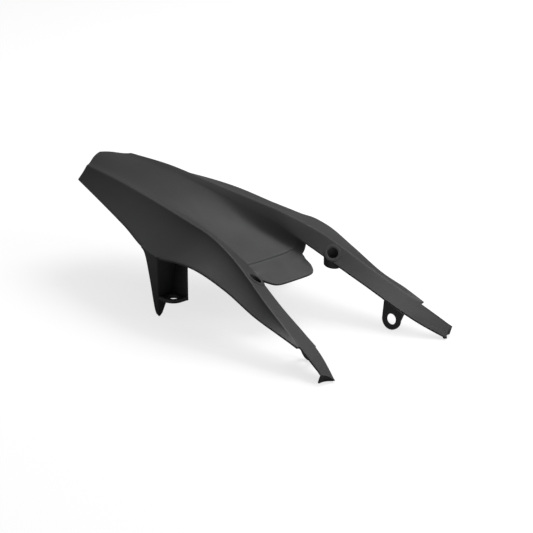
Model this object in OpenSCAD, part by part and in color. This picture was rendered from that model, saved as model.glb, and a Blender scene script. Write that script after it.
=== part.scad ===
// Motorcycle rear fender, one moulded piece.
// X runs forward from the tail, Y to the left, Z up. The fender stands on its two legs and
// the lips of its two arms at z = 0, centred on x = 0 and mirrored about y = 0.
// Stations are measured forward from the tail point, heights from the floor.

/* [Length stations] */
// tail ridge corner, behind which the tail narrows to a point
tail_corner_x = 21.5; // [15:0.1:40]
// where the ridges straighten behind the middle
rear_x = 90; // [75:1:105]
// middle of the rear shell
mid_x = 183; // [160:1:200]
// front edge of the legs at the skirt
leg_front_x = 277; // [262:0.5:290]
// width of a leg along the fender at the skirt
leg_width = 40.5; // [30:0.5:50]
// how far the legs sweep rearwards on their way down
leg_sweep = 18.5; // [0:0.5:30]
// start of the shoulder where the ridges turn outwards
shoulder_x = 311; // [295:1:325]
// step across the trough floor
step_x = 352.5; // [340:0.5:358]
// root of the two arms
root_x = 367; // [360:1:380]
// front edge of the tongue
tongue_x = 406.5; // [395:1:425]
// middle of the arms
arm_x = 454; // [440:1:470]
// front end of the outer skirt
skirt_end_x = 530; // [515:1:545]
// outer corner of the arm ends
tip_x = 578.8; // [568:1:590]
// inner corner of the arm ends, overall length
arm_tip_x = 585.5; // [570:0.5:600]
// how far the lips below the arm ends lean back
lip_lean = 4.5; // [0:0.1:8]

/* [Ridge] */
// half width between the ridges at the tail corners
ridge_w_tail = 41.8; // [36:0.1:50]
// half width at the rear
ridge_w_rear = 49.2; // [44:0.1:54]
// half width at the middle
ridge_w_mid = 55.6; // [48:0.1:64]
// half width above the legs
ridge_w_leg = 63.4; // [56:0.1:70]
// half width at the shoulder
ridge_w_shoulder = 68.7; // [60:0.1:76]
// half width at the arm roots
ridge_w_root = 79.5; // [70:0.1:88]
// half width at the middle of the arms
ridge_w_arm = 98.7; // [90:0.1:106]
// half width where the skirt ends
ridge_w_end = 113.2; // [106:0.1:120]
// half width at the arm ends
ridge_w_tip = 122.2; // [114:0.1:128]
// ridge height at the tail corners
ridge_z_tail = 144.2; // [136:0.1:150]
// ridge height at the rear
ridge_z_rear = 142.5; // [136:0.1:147]
// ridge height at the middle
ridge_z_mid = 133.3; // [125:0.1:142]
// ridge height above the legs
ridge_z_leg = 124.9; // [116:0.1:133]
// ridge height at the shoulder
ridge_z_shoulder = 118.7; // [112:0.1:130]
// ridge height at the arm roots
ridge_z_root = 104.7; // [96:0.1:114]
// ridge height at the middle of the arms
ridge_z_arm = 66.2; // [60:0.1:78]
// ridge height where the skirt ends
ridge_z_end = 34.1; // [28:0.1:44]
// ridge height at the arm ends
ridge_z_tip = 12.8; // [8:0.1:18]

/* [Trough] */
// crown height at the tail point
crown_z = 150.1; // [140:0.1:160]
// depth of the trough below the ridges at the middle
trough_d_mid = 6.9; // [2:0.1:14]
// depth at the shoulder
trough_d_shoulder = 27.8; // [20:0.1:34]
// depth at the arm roots
trough_d_root = 28.5; // [20:0.1:36]
// inner shoulder line, half width at the tail
inner_w_tail = 35; // [30:0.1:40]
// inner shoulder line, half width at the shoulder
inner_w_shoulder = 51.5; // [44:0.1:58]
// inner edge of the arms, half width at the root
inner_w_root = 55.5; // [48:0.1:62]
// inner edge, half width at the middle of the arms
inner_w_arm = 71.3; // [64:0.1:80]
// inner edge, half width at the arm ends
inner_w_tip = 104.6; // [98:0.1:110]
// drop from the ridge to the inner line at the middle
inner_d_mid = 3.9; // [1:0.1:8]
// drop at the shoulder
inner_d_shoulder = 11.3; // [7:0.1:16]
// drop at the arm roots
inner_d_root = 13.1; // [9:0.1:18]
// drop at the middle of the arms
inner_d_arm = 9.7; // [6:0.1:14]
// drop at the arm ends
inner_d_tip = 7.4; // [5:0.1:9]
// height of the step across the trough floor
step_h = 1.6; // [0.8:0.1:3]
// fall of the tongue along its length
tongue_fall = 10; // [5:0.1:16]
// half width of the tongue near its front
tongue_w = 43; // [38:0.1:48]

/* [Skirt] */
// half width of the skirt edge at the tail
skirt_w_tail = 61.5; // [52:0.1:68]
// half width at the middle
skirt_w_mid = 111.3; // [102:0.1:118]
// half width at the legs
skirt_w_leg = 133; // [124:0.1:138]
// half width beside the arm roots
skirt_w_root = 126; // [118:0.1:132]
// half width at the middle of the arms
skirt_w_arm = 119.6; // [112:0.1:126]
// half width at its front end
skirt_w_end = 118; // [112:0.1:124]
// height of the skirt edge at the tail
skirt_z_tail = 128; // [118:0.1:136]
// height at the middle
skirt_z_mid = 112; // [104:0.1:118]
// height at the legs
skirt_z_leg = 94.5; // [86:0.1:100]
// height beside the shoulder
skirt_z_shoulder = 96; // [86:0.1:100]
// height at the middle of the arms
skirt_z_arm = 55; // [46:0.1:62]
// height at its front end
skirt_z_end = 35.6; // [26:0.1:42]

/* [Wall] */
// wall thickness of the moulding
wall = 2.8; // [2:0.1:4]

/* [Legs] */
// height of the bolting shelf between the leg and its inner panel
shelf_z = 32; // [20:0.5:42]
// side of the square shelf
shelf_side = 28; // [24:0.5:36]
// thickness of the shelf
shelf_t = 5; // [2.4:0.1:7]
// bolt hole in the shelf
shelf_hole_d = 15; // [8:0.1:18]
// half width between the feet of the legs
foot_line_w = 115.4; // [108:0.1:122]
// width of the leg foot on the floor
foot_w = 6; // [4:0.1:12]

/* [Bosses] */
// distance of the boss axis forward of the arm root
boss_fwd = 36.4; // [28:0.5:48]
// diameter of the boss
boss_d = 24; // [18:0.1:26]
// diameter of the counterbore for the screw head
boss_head_d = 14.4; // [10:0.1:17]
// depth of the counterbore
boss_head_depth = 9; // [4:0.1:12]
// clearance hole for the screw
boss_screw_d = 6.6; // [5:0.1:8.5]
// underside of the boss
boss_bottom_z = 65.8; // [58:0.5:72]
// how far the rim of the boss stands above the arm
boss_rim = 0.8; // [0.6:0.1:3]
// slope of the underside of the boss
boss_tilt = 10; // [0:0.5:20]

/* [Hanging tabs] */
// station of the tab hole
tab_x = 508.4; // [490:0.1:520]
// height of the tab hole
tab_z = 15; // [14.6:0.1:22]
// hole in the tab
tab_hole_d = 15; // [8:0.1:18]
// width of material around the hole
tab_rim = 7; // [5:0.1:7.2]
// thickness of the tab
tab_t = 3.4; // [2.4:0.1:5]
// lean of the tab towards the middle
tab_lean = 6; // [0:0.5:10]
// how far the front side of the tab flares towards the arm
tab_flare = 4.5; // [0:0.1:8]

/* [Hidden] */
$fn = 48;

nTail = 6;
trough_n = 8;
face_n = 3;
skirt_n = 6;
flap_n = 3;
kI = trough_n;
kR = kI + face_n;
kB = kR + skirt_n;
kL = kB + flap_n;
kT = 5;
tail_end = 100;
leg_rear_x = leg_front_x - leg_width;
rows = concat(
  [for (i = [0:nTail - 1]) tail_end * i / nTail],
  [for (i = [0:6]) tail_end + (leg_rear_x - 8 - tail_end) * i / 6],
  [for (i = [0:8]) leg_rear_x + leg_width * i / 8],
  [for (i = [1:8]) leg_front_x + (step_x - 8 - leg_front_x) * i / 8],
  [step_x - 1.2, step_x + 1.2],
  [for (i = [1:2]) step_x + 1.2 + (root_x - step_x - 1.2) * i / 2]
);
iN = len(rows) - 1;
iLs = nTail + 7;
iLe = iLs + 8;
iG = iN + 8;
iW = iN + 15;
iT = iW + 4;
n = iT + 2;

// smooth curve through the knots, straight beyond its ends
function slope(xs, ys, i) = (ys[i + 1] - ys[i]) / (xs[i + 1] - xs[i]);
function tang(xs, ys, i) =
  i <= 0 ? slope(xs, ys, 0) :
  i >= len(xs) - 1 ? slope(xs, ys, len(xs) - 2) :
  let (a = xs[i] - xs[i - 1], b = xs[i + 1] - xs[i])
  (slope(xs, ys, i - 1) * b + slope(xs, ys, i) * a) / (a + b);
function seg(xs, x, i = 0) = i >= len(xs) - 2 || x < xs[i + 1] ? i : seg(xs, x, i + 1);
function curve(xs, ys, x) =
  x <= xs[0] ? ys[0] + (x - xs[0]) * tang(xs, ys, 0) :
  x >= xs[len(xs) - 1] ? ys[len(xs) - 1] + (x - xs[len(xs) - 1]) * tang(xs, ys, len(xs) - 1) :
  let (i = seg(xs, x), h = xs[i + 1] - xs[i], t = (x - xs[i]) / h)
  (2 * pow(t, 3) - 3 * t * t + 1) * ys[i] + (pow(t, 3) - 2 * t * t + t) * h * tang(xs, ys, i)
  + (3 * t * t - 2 * pow(t, 3)) * ys[i + 1] + (pow(t, 3) - t * t) * h * tang(xs, ys, i + 1);
function clamp(v) = max(0, min(1, v));
function ease(v) = let (t = clamp(v)) t * t * (3 - 2 * t);

// ridge, inner line and skirt edge along the fender
RX = [tail_corner_x, rear_x, mid_x, leg_front_x - 15, shoulder_x, root_x, arm_x, skirt_end_x, tip_x];
RW = [ridge_w_tail, ridge_w_rear, ridge_w_mid, ridge_w_leg, ridge_w_shoulder,
  ridge_w_root, ridge_w_arm, ridge_w_end, ridge_w_tip];
RZ = [ridge_z_tail, ridge_z_rear, ridge_z_mid, ridge_z_leg, ridge_z_shoulder,
  ridge_z_root, ridge_z_arm, ridge_z_end, ridge_z_tip];
function ridge_w(x) = curve(RX, RW, x);
function ridge_z(x) = curve(RX, RZ, x);
IX = [tail_corner_x, mid_x, shoulder_x, root_x, arm_x, arm_tip_x];
function inner_w(x) = curve([IX[0], IX[2], IX[3], IX[4], tip_x - 27, IX[5]],
  [inner_w_tail, inner_w_shoulder, inner_w_root, inner_w_arm, inner_w_arm + 19.2, inner_w_tip], x);
function inner_d(x) = curve(IX,
  [0, inner_d_mid, inner_d_shoulder, inner_d_root, inner_d_arm, inner_d_tip], x);
function inner_z(x) = ridge_z(x) - inner_d(x);
function step_drop(x) = step_h * ease((x - step_x + 1.2) / 2.4);
function floor_z(x) = curve([0, mid_x, shoulder_x, root_x],
  [crown_z, ridge_z_mid - trough_d_mid, ridge_z_shoulder - trough_d_shoulder,
   ridge_z_root - trough_d_root], x);
SX = [tail_corner_x + 3.5, mid_x, leg_front_x, root_x - 28, (root_x + arm_x) / 2 - 15, arm_x,
  (arm_x + skirt_end_x) / 2 + 4, skirt_end_x];
function skirt_w(x) = curve(SX,
  [skirt_w_tail, skirt_w_mid, skirt_w_leg, skirt_w_root, (skirt_w_root + skirt_w_arm) / 2 - 2.2,
   skirt_w_arm, (skirt_w_arm + skirt_w_end) / 2 + 1, skirt_w_end], x);
function skirt_z(x) = curve(
  [SX[0], mid_x, leg_rear_x + 12, leg_front_x, shoulder_x, SX[3], SX[4], arm_x, SX[6], skirt_end_x],
  [skirt_z_tail, skirt_z_mid, skirt_z_leg + 3.2, skirt_z_leg, skirt_z_shoulder, skirt_z_shoulder - 2,
   (skirt_z_shoulder + skirt_z_arm) / 2 + 2.2, skirt_z_arm, (skirt_z_arm + skirt_z_end) / 2 - 0.4,
   skirt_z_end], x);

// slope and reach of the trough wall where it meets the inner line, and roundness of that line
function wall_ang(x) = curve([0, mid_x, shoulder_x, root_x], [-6, 24, 50, 76], x);
function wall_reach(x) = curve([0, mid_x, shoulder_x, root_x], [10, 5, 12.6, 3.7], x);
function round_in(x) = 0.3 * (1 - ease((x - shoulder_x) / (root_x - shoulder_x + 20)));

// trough from the middle to the inner line, t from 0 to 1
function trough(x, t) =
  let (w = inner_w(x), z = inner_z(x), c = floor_z(x), e = ease((x - mid_x) / (root_x - mid_x)),
    p1 = [(0.55 + 0.33 * e) * w, c],
    p2 = [w, z] - wall_reach(x) * [1, tan(wall_ang(x))], u = 1 - t)
  u * u * u * [0, c] + 3 * u * u * t * p1 + 3 * u * t * t * p2 + t * t * t * [w, z]
  - [0, step_drop(x) * (1 - pow(t, 6))];
// face from the inner line up to the ridge
function face(x, t) =
  let (a = [inner_w(x), inner_z(x)], b = [ridge_w(x), ridge_z(x)], r = round_in(x), l = norm(b - a),
    q = r > 0 ? a + r * l * [cos(wall_ang(x)), sin(wall_ang(x))] : (a + b) / 2,
    k = (1 - r / 0.3) * (a + b) / 2 + r / 0.3 * q, u = 1 - t)
  u * u * a + 2 * u * t * k + t * t * b;
// hollow flank from the ridge down and out to the skirt edge
function flank(x, t) =
  let (a = [ridge_w(x), ridge_z(x)], b = [skirt_w(x), skirt_z(x)],
    m = ease((x - tail_corner_x) / 300), u = 1 - t,
    q = [a[0] + (0.42 - 0.28 * m) * (b[0] - a[0]), a[1] - (0.5 - 0.04 * m) * (a[1] - b[1])])
  u * u * a + 2 * u * t * q + t * t * b;
// lower outline of a leg
function leg_low(x) = let (v = (x - leg_rear_x) / leg_width)
  v >= 0.999 ? 0 : curve([0, 0.26, 0.54, 0.81, 1],
    [skirt_z(x) - 2, skirt_z_leg - 4, 0.56 * skirt_z_leg, 6, 0], v);
// half width and rearward sweep of the leg at height z
function leg_w(z) = foot_line_w + (skirt_w_leg - foot_line_w) * clamp(z / skirt_z_leg);
function sweep(z) = leg_sweep * (1 - clamp(z / skirt_z_leg));

// plan line of the tail, of the arm ends and of the front of the tongue
function tail_edge(k) = k <= kR ? tail_corner_x * (k <= kI ? k / kI * inner_w_tail / ridge_w_tail :
  (inner_w_tail + (ridge_w_tail - inner_w_tail) * (k - kI) / face_n) / ridge_w_tail)
  : tail_corner_x + 3.5 * (k - kR) / skirt_n;
function arm_end(k) = let (t = clamp((k - kI) / face_n))
  arm_tip_x + (tip_x - arm_tip_x) * t - 11 * t * (1 - t);
function tongue_end(t) = tongue_x - (tongue_x - root_x) * 0.46 * pow(t, 4);

function station(i, k) =
  i < nTail ? tail_edge(k) + (tail_end - tail_edge(k)) * rows[i] / tail_end :
  i <= iN ? rows[i] :
  i <= iW ? root_x + (skirt_end_x - root_x) * (i - iN) / (iW - iN) :
  let (a = (min(i, iT) - iW) / (iT - iW)) skirt_end_x + (arm_end(k) - skirt_end_x) * a;

// columns of the trough are spread so that column kT follows the side of the tongue
function tcol(k) = k / trough_n;
function section(x, k) =
  k <= kI ? trough(x, tcol(k)) : k <= kR ? face(x, (k - kI) / face_n) :
  k <= kB ? flank(x, (k - kR) / skirt_n) :
  let (t = (k - kB) / flap_n, b = flank(x, 1), z = b[1] + (leg_low(x) - b[1]) * t)
  [b[0] + (leg_w(z) - skirt_w_leg) * ease(2 * (b[1] - z) / 30 + 0.3), z];

function tongue_pt(i, k) =
  let (r = (i - iN) / (iG - iN), t = k / kT, x = root_x + (tongue_end(t) - root_x) * r,
    a = trough(root_x, tcol(k)), rise = (a[1] - floor_z(root_x) + step_h),
    w = a[0] * (1 + (tongue_w / trough(root_x, tcol(kT))[0] - 1) * ease((x - root_x) / 36)))
  [x, w, floor_z(root_x) - step_h - tongue_fall * (x - root_x) / (tongue_x - root_x)
    + rise * (1 - 0.8 * ease((x - root_x) / 10))];

function pt(i, k) =
  i > iN && k <= kT ? tongue_pt(i, k) :
  let (x = station(i, k), p = section(x, k))
  i > iT ? [x - lip_lean * (i - iT) / (n - iT), p[0], p[1] * (1 - (i - iT) / (n - iT))] :
  k > kB ? [x - sweep(p[1]) + sweep(section(x, kB)[1]), p[0], p[1]] : [x, p[0], p[1]];

function k_lo(i, k) = i > iN && k >= kI ? kI : 0;
function k_hi(i, k) = i > iN && k <= kT ? kT : i >= iLs && i <= iLe ? kL : i <= iW ? kB : kR;
function i_hi(k) = k <= kT ? iG : k < kI ? iN : k <= kR ? n : k <= kB ? iW : iLe;
function i_lo(k) = k > kB ? iLs : 0;
function normal(i, k) =
  let (ds = pt(min(i + 1, i_hi(k)), k) - pt(max(i - 1, i_lo(k)), k),
    dt = k == 0 ? [0, 1, 0] : pt(i, min(k + 1, k_hi(i, k))) - pt(i, max(k - 1, k_lo(i, k))),
    c = cross(ds, dt))
  c / norm(c);

function has_vertex(i, k) = i <= i_hi(k) && i >= i_lo(k) && k <= k_hi(i, k) && k >= k_lo(i, k);
m = 2 * kL;
count = (n + 1) * (m + 1);
function id(i, j, s) = s * count + i * (m + 1) + j;
function vertex(i, j, s) =
  let (k = abs(j - kL), g = j < kL ? -1 : 1)
  !has_vertex(i, k) ? [0, 0, 0] :
  let (q = pt(i, k), p = q - s * wall * normal(i, k), z = q[2] < 0.01 ? 0 : max(0.2, p[2]))
  [max(0, p[0]) - arm_tip_x / 2, g * p[1], z];
function cell(i, j) =
  i < 0 || j < 0 || i >= n || j >= m ? false :
  let (k = floor(abs(j + 0.5 - kL)))
  i < iN ? (k < kB || (i >= iLs && i < iLe)) :
  (k < kT && i < iG) || (k >= kI && k < kR) || (k >= kR && k < kB && i < iW);

module shell() {
  points = concat(
    [for (i = [0:n]) for (j = [0:m]) vertex(i, j, 0)],
    [for (i = [0:n]) for (j = [0:m]) vertex(i, j, 1)]);
  faces = [for (i = [0:n - 1]) for (j = [0:m - 1]) if (cell(i, j))
    let (a = id(i, j, 0), b = id(i, j + 1, 0), c = id(i + 1, j + 1, 0), d = id(i + 1, j, 0),
      e = id(i, j, 1), f = id(i, j + 1, 1), g = id(i + 1, j + 1, 1), h = id(i + 1, j, 1))
    each concat(
      [[a, b, c], [a, c, d], [e, g, f], [e, h, g]],
      cell(i, j - 1) ? [] : [[a, d, h], [a, h, e]],
      cell(i, j + 1) ? [] : [[b, g, c], [b, f, g]],
      cell(i - 1, j) ? [] : [[a, e, f], [a, f, b]],
      cell(i + 1, j) ? [] : [[d, g, h], [d, c, g]])];
  polyhedron(points, faces);
}

// x in the frame of a station
function fx(x) = x - arm_tip_x / 2;
boss_x = root_x + boss_fwd;
boss_w = inner_w(boss_x) + boss_d / 2 - 1.8;
function arm_top(x, w) = inner_z(x)
  + (ridge_z(x) - inner_z(x)) * (w - inner_w(x)) / (ridge_w(x) - inner_w(x));
boss_top = arm_top(boss_x, boss_w) + boss_rim;
pitch = atan((arm_top(boss_x - 5, boss_w) - arm_top(boss_x + 5, boss_w)) / 10);
roll = atan((arm_top(boss_x, boss_w + 5) - arm_top(boss_x, boss_w - 5)) / 10);

module boss_body(g) {
  intersection() {
    translate([fx(boss_x), g * boss_w, boss_bottom_z - 10])
      cylinder(d = boss_d, h = boss_top - boss_bottom_z + 30);
    translate([fx(boss_x), g * boss_w, boss_bottom_z]) rotate([0, boss_tilt, 0])
      translate([-30, -30, 0]) cube(60);
    translate([fx(boss_x), g * boss_w, boss_top]) rotate([g * roll, pitch, 0])
      translate([-30, -30, -60]) cube(60);
  }
}

module boss_bore(g) {
  translate([fx(boss_x), g * boss_w, boss_top - boss_head_depth])
    cylinder(d = boss_head_d, h = 30);
  translate([fx(boss_x), g * boss_w, boss_bottom_z - 10]) cylinder(d = boss_screw_d, h = 30);
}

// hanging tab below the inner edge of an arm
tab_yaw = atan((inner_w(tab_x + 20) - inner_w(tab_x - 20)) / 40);
tab_r = tab_hole_d / 2 + tab_rim;
tab_w = inner_w(tab_x) + tab_t / 2 - 0.6 - (inner_z(tab_x) - tab_z) * tan(tab_lean);
module tab_place(g) {
  translate([fx(tab_x), g * tab_w, tab_z]) rotate([0, 0, g * tab_yaw]) rotate([-g * tab_lean, 0, 0])
    rotate([90, 0, 0]) children();
}

module tab(g) {
  top = (inner_z(tab_x) - tab_z - 0.4 * wall) / cos(tab_lean);
  fall = (inner_z(tab_x - 15) - inner_z(tab_x + 15)) / 30;
  tab_place(g) translate([0, 0, -tab_t / 2]) linear_extrude(tab_t) union() {
    circle(r = tab_r);
    polygon([[-tab_r, 0], [tab_r, 0], [tab_r + tab_flare, top - fall * (tab_r + tab_flare)],
      [-tab_r + 1, top + fall * (tab_r - 1)]]);
  }
}

// inner panel, web and shelf that tie each leg to the underside of the shell
crease_x = leg_front_x - sweep(shelf_z);
crease_w = leg_w(shelf_z);
panel_w = crease_w - shelf_side;
hole_x = crease_x + shelf_side / 2 + 0.6;
hole_w = crease_w - shelf_side / 2 - 0.6;
web_lean = atan(leg_sweep / skirt_z_leg);
function flank_z(x, w, a = 0, b = 1, c = 14) = let (t = (a + b) / 2, p = flank(x, t))
  c == 0 ? p[1] : p[0] < w ? flank_z(x, w, t, b, c - 1) : flank_z(x, w, a, t, c - 1);

module leg_web(g) {
  q = 1 / cos(web_lean);
  translate([fx(leg_front_x - leg_sweep - wall), 0, 0]) rotate([0, web_lean, 0])
    rotate([90, 0, 90]) linear_extrude(wall)
    polygon([for (p = concat(
      [[leg_w(1) - 0.8, 1 * q], [leg_w(0) - foot_w / 2, 1 * q], [leg_w(0) - foot_w, 5],
       [leg_w(0) - 11, shelf_z - 10], [leg_w(0) - 13, shelf_z - shelf_t],
       [panel_w, shelf_z - shelf_t]],
      [for (i = [0:5]) let (w = panel_w + (skirt_w_leg - 2 - panel_w) * i / 5)
        [w, (flank_z(leg_front_x, w) - wall * 0.7) * q]],
      [[leg_w(shelf_z) - 0.8, shelf_z * q]]))
      [g * p[0], p[1]]]);
}

module leg_panel(g) {
  x0 = crease_x - wall;
  x1 = crease_x + shelf_side;
  translate([0, g * panel_w + wall / 2, 0]) rotate([90, 0, 0]) linear_extrude(wall)
    polygon(concat([[fx(x0), shelf_z - shelf_t], [fx(x1), shelf_z - shelf_t]],
      [for (i = [0:4]) let (x = x1 + (x0 + 9 - x1) * i / 4)
        [fx(x), flank_z(x, panel_w + wall / 2) - wall * 0.6]]));
}

module leg_shelf(g) {
  r = shelf_side * 0.55;
  a = fx(crease_x - wall);
  b = fx(crease_x + shelf_side);
  p = panel_w - wall / 2;
  o = crease_w - 0.8;
  translate([0, 0, shelf_z - shelf_t]) linear_extrude(shelf_t) union() {
    polygon([[a, g * p], [b, g * p], [b, g * (o - r)], [b - r, g * o], [a, g * o]]);
    translate([b - r, g * (o - r)]) circle(r = r);
  }
}

module shelf_bore(g) {
  translate([fx(hole_x), g * hole_w, shelf_z - shelf_t - 1]) cylinder(d = shelf_hole_d, h = shelf_t + 2);
}

module rear_fender() color("dimgray") difference() {
  union() {
    shell();
    for (g = [-1, 1]) {
      boss_body(g);
      tab(g);
      leg_web(g);
      leg_panel(g);
      leg_shelf(g);
    }
  }
  for (g = [-1, 1]) {
    boss_bore(g);
    shelf_bore(g);
    tab_place(g) translate([0, 0, -tab_t]) cylinder(d = tab_hole_d, h = 2 * tab_t);
  }
}

rear_fender();
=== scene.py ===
"""Motorcycle rear fender.

The moulded shell with its arms, tongue, bosses, tabs and legs, and a plain studio.
"""
import math

import bmesh
import bpy
import numpy as np
from bpy.props import (BoolProperty, FloatProperty, FloatVectorProperty, IntProperty,
                       PointerProperty)
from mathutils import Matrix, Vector


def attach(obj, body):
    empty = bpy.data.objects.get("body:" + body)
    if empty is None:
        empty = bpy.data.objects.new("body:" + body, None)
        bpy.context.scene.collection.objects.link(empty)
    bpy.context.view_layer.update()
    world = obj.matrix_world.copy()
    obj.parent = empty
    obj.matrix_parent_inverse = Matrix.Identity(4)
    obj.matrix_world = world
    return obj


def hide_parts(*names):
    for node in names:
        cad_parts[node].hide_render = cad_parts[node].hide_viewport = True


bl_info = {
    "name": "Motorcycle rear fender",
    "version": (1, 0, 0),
    "blender": (4, 5, 0),
    "location": "View3D > Sidebar > Fender",
    "description": "Builds a moulded rear fender in satin black plastic, with a plain studio around it",
    "category": "Object",
}

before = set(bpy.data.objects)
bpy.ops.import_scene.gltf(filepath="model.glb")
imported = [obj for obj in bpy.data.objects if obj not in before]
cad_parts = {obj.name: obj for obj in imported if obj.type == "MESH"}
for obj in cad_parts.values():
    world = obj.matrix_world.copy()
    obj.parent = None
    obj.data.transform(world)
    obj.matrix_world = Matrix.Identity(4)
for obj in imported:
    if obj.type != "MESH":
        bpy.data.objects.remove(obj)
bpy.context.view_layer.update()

MM = 0.001
FLOOR_HALF, FLOOR_DROP = 7, 0.0004
LAMP_TARGET, LAMP_SIZE = (0.05, 0, 0.08), 1.4

# Stations run forward from the tail point and heights up from the floor, all in millimetres.
TAIL_CORNER, REAR, MID, SHOULDER, STEP, ROOT = 21.5, 90.0, 183.0, 311.0, 352.5, 367.0
TONGUE, ARM, SKIRT_END, TIP, ARM_TIP = 406.5, 454.0, 530.0, 578.8, 585.5
LEG_FRONT, LEG_WIDTH, LEG_SWEEP = 277.0, 40.5, 18.5
# The lip leans back, the arm ends are hollow in plan, and the skirt starts ahead of the tail corner.
LIP_LEAN, ARM_HOLLOW, SKIRT_AHEAD = 4.5, 11.0, 3.5
LEG_REAR = LEG_FRONT - LEG_WIDTH
CENTRE = ARM_TIP / 2
STEP_H, TONGUE_FALL, TONGUE_W = 1.6, 10.0, 43.0
# Share by which the tongue's corners fall back, and the lengths over which it narrows and flattens.
TONGUE_ROUND, TONGUE_NARROWS, TONGUE_FLATTENS = 0.46, 36.0, 10.0
SKIRT_Z_LEG, SKIRT_W_LEG = 94.5, 133.0
WALL = 2.8
SHELF_Z, SHELF_SIDE, SHELF_T, SHELF_HOLE = 32.0, 28.0, 5.0, 15.0
FOOT_LINE, FOOT = 115.4, 6.0
# A point inside the web, across and up, and the height of one inside the panel.
WEB_MIDDLE, PANEL_MIDDLE = (108.0, 60.0), 62.0
BOSS_FWD, BOSS_D, BOSS_HEAD, BOSS_DEPTH, BOSS_SCREW = 36.4, 24.0, 14.4, 9.0, 6.6
BOSS_BOTTOM, BOSS_RIM, BOSS_TILT = 65.8, 0.8, 10.0
TAB_X, TAB_Z, TAB_HOLE, TAB_RIM = 508.4, 15.0, 15.0, 7.0
TAB_T, TAB_LEAN, TAB_FLARE = 3.4, 6.0, 4.5

# Columns from the middle of the trough outwards: tongue side, inner line, ridge, skirt edge,
# foot of the leg.
K_TONGUE, K_INNER, K_RIDGE, K_SKIRT, K_LEG = 5, 8, 11, 17, 20
TAIL_END = 100.0
ROWS = np.concatenate([
    TAIL_END * np.arange(6) / 6,
    TAIL_END + (LEG_REAR - 8 - TAIL_END) * np.arange(7) / 6,
    LEG_REAR + LEG_WIDTH * np.arange(9) / 8,
    LEG_FRONT + (STEP - 8 - LEG_FRONT) * np.arange(1, 9) / 8,
    [STEP - 1.2, STEP + 1.2],
    STEP + 1.2 + (ROOT - STEP - 1.2) * np.arange(1, 3) / 2,
])
I_TAIL, I_ROOT = 6, len(ROWS) - 1
I_LEG0, I_LEG1 = 13, 21
I_TONGUE, I_SKIRT = I_ROOT + 8, I_ROOT + 15
I_TIP = I_SKIRT + 4
I_END = I_TIP + 2


def curve(knots, values, x):
    """Smooth curve through knots, straight beyond both ends.

    Cubic Hermite spans, whose end slopes are the neighbouring chords weighted by distance.
    """
    x = np.asarray(x, float)
    k = np.asarray(knots, float)
    v = np.stack([np.broadcast_to(np.asarray(a, float), x.shape) for a in values])
    h = np.diff(k)
    chord = np.diff(v, axis=0) / h.reshape((-1,) + (1,) * x.ndim)
    w = h.reshape((-1,) + (1,) * x.ndim)
    mean = (chord[:-1] * w[1:] + chord[1:] * w[:-1]) / (w[1:] + w[:-1])
    slope = np.concatenate([chord[:1], mean, chord[-1:]])
    i = np.clip(np.searchsorted(k, x, side="right") - 1, 0, len(h) - 1)
    t = (np.clip(x, k[0], k[-1]) - k[i]) / h[i]

    def take(a, j):
        return np.take_along_axis(a, j[None], 0)[0]

    inside = ((2 * t**3 - 3 * t**2 + 1) * take(v, i) + (t**3 - 2 * t**2 + t) * h[i] * take(slope, i)
              + (3 * t**2 - 2 * t**3) * take(v, i + 1) + (t**3 - t**2) * h[i] * take(slope, i + 1))
    return inside + np.minimum(x - k[0], 0) * slope[0] + np.maximum(x - k[-1], 0) * slope[-1]


def ease(v):
    """Smooth step from 0 to 1: 3 v squared less 2 v cubed, clamped."""
    t = np.clip(v, 0, 1)
    return t * t * (3 - 2 * t)


def share(v, start, end):
    """How far v has come from start to end: 0 at the start, 1 at the end, clamped."""
    return np.clip((v - start) / (end - start), 0, 1)


# Knots of the long curves: ridge, inner line, trough floor, skirt edge and trough wall.
RIDGE_X = [TAIL_CORNER, REAR, MID, LEG_FRONT - 15, SHOULDER, ROOT, ARM, SKIRT_END, TIP]
RIDGE_W = [41.8, 49.2, 55.6, 63.4, 68.7, 79.5, 98.7, 113.2, 122.2]
RIDGE_Z = [144.2, 142.5, 133.3, 124.9, 118.7, 104.7, 66.2, 34.1, 12.8]
INNER_W = [35, 51.5, 55.5, 71.3, 90.5, 104.6]
INNER_DROP = [0, 3.9, 11.3, 13.1, 9.7, 7.4]
INNER_X = [TAIL_CORNER, MID, SHOULDER, ROOT, ARM, ARM_TIP]
INNER_W_X = [TAIL_CORNER, SHOULDER, ROOT, ARM, TIP - 27, ARM_TIP]
SKIRT_X = [TAIL_CORNER + SKIRT_AHEAD, MID, LEG_FRONT, ROOT - 28, (ROOT + ARM) / 2 - 15, ARM,
           (ARM + SKIRT_END) / 2 + 4, SKIRT_END]
SKIRT_W = [61.5, 111.3, SKIRT_W_LEG, 126, (126 + 119.6) / 2 - 2.2, 119.6, (119.6 + 118) / 2 + 1, 118]
SKIRT_Z_X = [SKIRT_X[0], MID, LEG_REAR + 12, LEG_FRONT, SHOULDER] + SKIRT_X[3:]
SKIRT_Z = [128, 112, SKIRT_Z_LEG + 3.2, SKIRT_Z_LEG, 96, 94, (96 + 55) / 2 + 2.2, 55,
           (55 + 35.6) / 2 - 0.4, 35.6]
WALL_X = [0, MID, SHOULDER, ROOT]
FLOOR_Z = [150.1, 126.4, 90.9, 76.2]
WALL_ANGLE = [-6, 24, 50, 76]
WALL_REACH = [10, 5, 12.6, 3.7]


def ridge_w(x):
    """Half width between the ridges."""
    return curve(RIDGE_X, RIDGE_W, x)


def ridge_z(x):
    """Height of the ridges."""
    return curve(RIDGE_X, RIDGE_Z, x)


def inner_w(x):
    """Half width of the line between trough and face, and of the arms' inner edges."""
    return curve(INNER_W_X, INNER_W, x)


def inner_z(x):
    """Height of the inner line: the ridge less a drop."""
    return ridge_z(x) - curve(INNER_X, INNER_DROP, x)


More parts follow.
